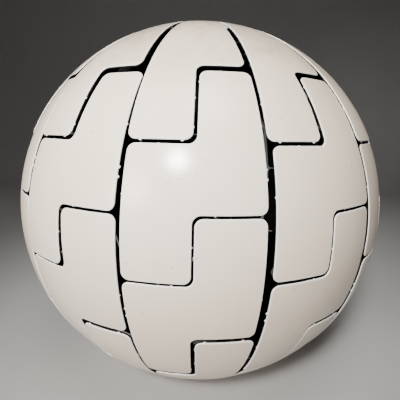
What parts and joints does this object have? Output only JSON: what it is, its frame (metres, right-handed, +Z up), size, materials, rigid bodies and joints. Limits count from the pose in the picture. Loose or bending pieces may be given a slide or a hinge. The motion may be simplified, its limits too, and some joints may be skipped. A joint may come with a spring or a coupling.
{
  "type": "transforming ball lamp shade",
  "caption": "Ball-shaped pendant lamp shade of interlocking stepped shell panels that swing outward on hinged ribs as the lower hub slides up.",
  "frame": {"origin": "on the axis of the hanging nipple, where it leaves its nut", "axes": "+Z up along the hanging axis; the middle of the front gore faces -Y"},
  "size_m": [0.35, 0.35, 0.3483],
  "materials": {
    "shell_plastic": "satin warm off-white moulded polypropylene",
    "rib_plastic": "satin black moulded nylon",
    "carrier_plastic": "matt charcoal moulded plastic",
    "cap_plastic": "satin warm off-white",
    "eyelet_plastic": "satin grey",
    "holder_plastic": "matt black heat-resistant plastic",
    "steel": "plain bright",
    "zinc_steel": "zinc plated",
    "brass": "plain"
  },
  "bodies": {
    "root": {"top_carrier": "carrier_plastic", "top_petals": "shell_plastic", "top_petal_screws": "steel", "upper_hinge_pins": "steel", "top_cap": "cap_plastic", "hanging_nipple": "zinc_steel", "nipple_nut": "zinc_steel", "holder_cap": "holder_plastic", "holder_skirt": "holder_plastic", "holder_contact": "brass"},
    "lower_hub": {"bottom_carrier": "carrier_plastic", "bottom_petals": "shell_plastic", "bottom_petal_screws": "steel", "lower_hinge_pins": "steel", "bottom_ring": "cap_plastic", "cord_eyelets": "eyelet_plastic"},
    "upper_arm_01": {"upper_rib_01": "rib_plastic", "upper_panel_01": "shell_plastic"},
    "lower_arm_01": {"lower_rib_01": "rib_plastic", "lower_panel_01": "shell_plastic"},
    "upper_arm_02": {"upper_rib_02": "rib_plastic", "upper_panel_02": "shell_plastic"},
    "lower_arm_02": {"lower_rib_02": "rib_plastic", "lower_panel_02": "shell_plastic"},
    "upper_arm_03": {"upper_rib_03": "rib_plastic", "upper_panel_03": "shell_plastic"},
    "lower_arm_03": {"lower_rib_03": "rib_plastic", "lower_panel_03": "shell_plastic"},
    "upper_arm_04": {"upper_rib_04": "rib_plastic", "upper_panel_04": "shell_plastic"},
    "lower_arm_04": {"lower_rib_04": "rib_plastic", "lower_panel_04": "shell_plastic"},
    "upper_arm_05": {"upper_rib_05": "rib_plastic", "upper_panel_05": "shell_plastic"},
    "lower_arm_05": {"lower_rib_05": "rib_plastic", "lower_panel_05": "shell_plastic"},
    "upper_arm_06": {"upper_rib_06": "rib_plastic", "upper_panel_06": "shell_plastic"},
    "lower_arm_06": {"lower_rib_06": "rib_plastic", "lower_panel_06": "shell_plastic"},
    "upper_arm_07": {"upper_rib_07": "rib_plastic", "upper_panel_07": "shell_plastic"},
    "lower_arm_07": {"lower_rib_07": "rib_plastic", "lower_panel_07": "shell_plastic"},
    "upper_arm_08": {"upper_rib_08": "rib_plastic", "upper_panel_08": "shell_plastic"},
    "lower_arm_08": {"lower_rib_08": "rib_plastic", "lower_panel_08": "shell_plastic"},
    "upper_arm_09": {"upper_rib_09": "rib_plastic", "upper_panel_09": "shell_plastic"},
    "lower_arm_09": {"lower_rib_09": "rib_plastic", "lower_panel_09": "shell_plastic"},
    "upper_arm_10": {"upper_rib_10": "rib_plastic", "upper_panel_10": "shell_plastic"},
    "lower_arm_10": {"lower_rib_10": "rib_plastic", "lower_panel_10": "shell_plastic"},
    "upper_arm_11": {"upper_rib_11": "rib_plastic", "upper_panel_11": "shell_plastic"},
    "lower_arm_11": {"lower_rib_11": "rib_plastic", "lower_panel_11": "shell_plastic"}
  },
  "joints": [
    {"name": "spread", "type": "slide", "parent": "root", "child": "lower_hub", "axis": [0, 0, 1], "range_m": [0, 0.0737]},
    {"name": "upper_swing_01", "type": "hinge", "parent": "root", "child": "upper_arm_01", "pos_m": [0, -0.068, -0.018], "axis": [-1, 0, 0], "range_deg": [0, 18.05]},
    {"name": "lower_swing_01", "type": "hinge", "parent": "lower_hub", "child": "lower_arm_01", "pos_m": [0, -0.068, -0.312], "axis": [1, 0, 0], "range_deg": [0, 18.05]},
    {"name": "upper_swing_02", "type": "hinge", "parent": "root", "child": "upper_arm_02", "pos_m": [0.03676, -0.05721, -0.018], "axis": [-0.8413, -0.5406, 0], "range_deg": [0, 18.05]},
    {"name": "lower_swing_02", "type": "hinge", "parent": "lower_hub", "child": "lower_arm_02", "pos_m": [0.03676, -0.05721, -0.312], "axis": [0.8413, 0.5406, 0], "range_deg": [0, 18.05]},
    {"name": "upper_swing_03", "type": "hinge", "parent": "root", "child": "upper_arm_03", "pos_m": [0.06186, -0.02825, -0.018], "axis": [-0.4154, -0.9096, 0], "range_deg": [0, 18.05]},
    {"name": "lower_swing_03", "type": "hinge", "parent": "lower_hub", "child": "lower_arm_03", "pos_m": [0.06186, -0.02825, -0.312], "axis": [0.4154, 0.9096, 0], "range_deg": [0, 18.05]},
    {"name": "upper_swing_04", "type": "hinge", "parent": "root", "child": "upper_arm_04", "pos_m": [0.06731, 0.00968, -0.018], "axis": [0.1423, -0.9898, 0], "range_deg": [0, 18.05]},
    {"name": "lower_swing_04", "type": "hinge", "parent": "lower_hub", "child": "lower_arm_04", "pos_m": [0.06731, 0.00968, -0.312], "axis": [-0.1423, 0.9898, 0], "range_deg": [0, 18.05]},
    {"name": "upper_swing_05", "type": "hinge", "parent": "root", "child": "upper_arm_05", "pos_m": [0.05139, 0.04453, -0.018], "axis": [0.6549, -0.7557, 0], "range_deg": [0, 18.05]},
    {"name": "lower_swing_05", "type": "hinge", "parent": "lower_hub", "child": "lower_arm_05", "pos_m": [0.05139, 0.04453, -0.312], "axis": [-0.6549, 0.7557, 0], "range_deg": [0, 18.05]},
    {"name": "upper_swing_06", "type": "hinge", "parent": "root", "child": "upper_arm_06", "pos_m": [0.01916, 0.06525, -0.018], "axis": [0.9595, -0.2817, 0], "range_deg": [0, 18.05]},
    {"name": "lower_swing_06", "type": "hinge", "parent": "lower_hub", "child": "lower_arm_06", "pos_m": [0.01916, 0.06525, -0.312], "axis": [-0.9595, 0.2817, 0], "range_deg": [0, 18.05]},
    {"name": "upper_swing_07", "type": "hinge", "parent": "root", "child": "upper_arm_07", "pos_m": [-0.01916, 0.06525, -0.018], "axis": [0.9595, 0.2817, 0], "range_deg": [0, 18.05]},
    {"name": "lower_swing_07", "type": "hinge", "parent": "lower_hub", "child": "lower_arm_07", "pos_m": [-0.01916, 0.06525, -0.312], "axis": [-0.9595, -0.2817, 0], "range_deg": [0, 18.05]},
    {"name": "upper_swing_08", "type": "hinge", "parent": "root", "child": "upper_arm_08", "pos_m": [-0.05139, 0.04453, -0.018], "axis": [0.6549, 0.7557, 0], "range_deg": [0, 18.05]},
    {"name": "lower_swing_08", "type": "hinge", "parent": "lower_hub", "child": "lower_arm_08", "pos_m": [-0.05139, 0.04453, -0.312], "axis": [-0.6549, -0.7557, 0], "range_deg": [0, 18.05]},
    {"name": "upper_swing_09", "type": "hinge", "parent": "root", "child": "upper_arm_09", "pos_m": [-0.06731, 0.00968, -0.018], "axis": [0.1423, 0.9898, 0], "range_deg": [0, 18.05]},
    {"name": "lower_swing_09", "type": "hinge", "parent": "lower_hub", "child": "lower_arm_09", "pos_m": [-0.06731, 0.00968, -0.312], "axis": [-0.1423, -0.9898, 0], "range_deg": [0, 18.05]},
    {"name": "upper_swing_10", "type": "hinge", "parent": "root", "child": "upper_arm_10", "pos_m": [-0.06186, -0.02825, -0.018], "axis": [-0.4154, 0.9096, 0], "range_deg": [0, 18.05]},
    {"name": "lower_swing_10", "type": "hinge", "parent": "lower_hub", "child": "lower_arm_10", "pos_m": [-0.06186, -0.02825, -0.312], "axis": [0.4154, -0.9096, 0], "range_deg": [0, 18.05]},
    {"name": "upper_swing_11", "type": "hinge", "parent": "root", "child": "upper_arm_11", "pos_m": [-0.03676, -0.05721, -0.018], "axis": [-0.8413, 0.5406, 0], "range_deg": [0, 18.05]},
    {"name": "lower_swing_11", "type": "hinge", "parent": "lower_hub", "child": "lower_arm_11", "pos_m": [-0.03676, -0.05721, -0.312], "axis": [0.8413, -0.5406, 0], "range_deg": [0, 18.05]}
  ],
  "couplings": [
    {"joint": "upper_swing_01", "follows": "spread", "rad_per_m": 4.2627},
    {"joint": "lower_swing_01", "follows": "spread", "rad_per_m": 4.2627},
    {"joint": "upper_swing_02", "follows": "spread", "rad_per_m": 4.2627},
    {"joint": "lower_swing_02", "follows": "spread", "rad_per_m": 4.2627},
    {"joint": "upper_swing_03", "follows": "spread", "rad_per_m": 4.2627},
    {"joint": "lower_swing_03", "follows": "spread", "rad_per_m": 4.2627},
    {"joint": "upper_swing_04", "follows": "spread", "rad_per_m": 4.2627},
    {"joint": "lower_swing_04", "follows": "spread", "rad_per_m": 4.2627},
    {"joint": "upper_swing_05", "follows": "spread", "rad_per_m": 4.2627},
    {"joint": "lower_swing_05", "follows": "spread", "rad_per_m": 4.2627},
    {"joint": "upper_swing_06", "follows": "spread", "rad_per_m": 4.2627},
    {"joint": "lower_swing_06", "follows": "spread", "rad_per_m": 4.2627},
    {"joint": "upper_swing_07", "follows": "spread", "rad_per_m": 4.2627},
    {"joint": "lower_swing_07", "follows": "spread", "rad_per_m": 4.2627},
    {"joint": "upper_swing_08", "follows": "spread", "rad_per_m": 4.2627},
    {"joint": "lower_swing_08", "follows": "spread", "rad_per_m": 4.2627},
    {"joint": "upper_swing_09", "follows": "spread", "rad_per_m": 4.2627},
    {"joint": "lower_swing_09", "follows": "spread", "rad_per_m": 4.2627},
    {"joint": "upper_swing_10", "follows": "spread", "rad_per_m": 4.2627},
    {"joint": "lower_swing_10", "follows": "spread", "rad_per_m": 4.2627},
    {"joint": "upper_swing_11", "follows": "spread", "rad_per_m": 4.2627},
    {"joint": "lower_swing_11", "follows": "spread", "rad_per_m": 4.2627}
  ]
}
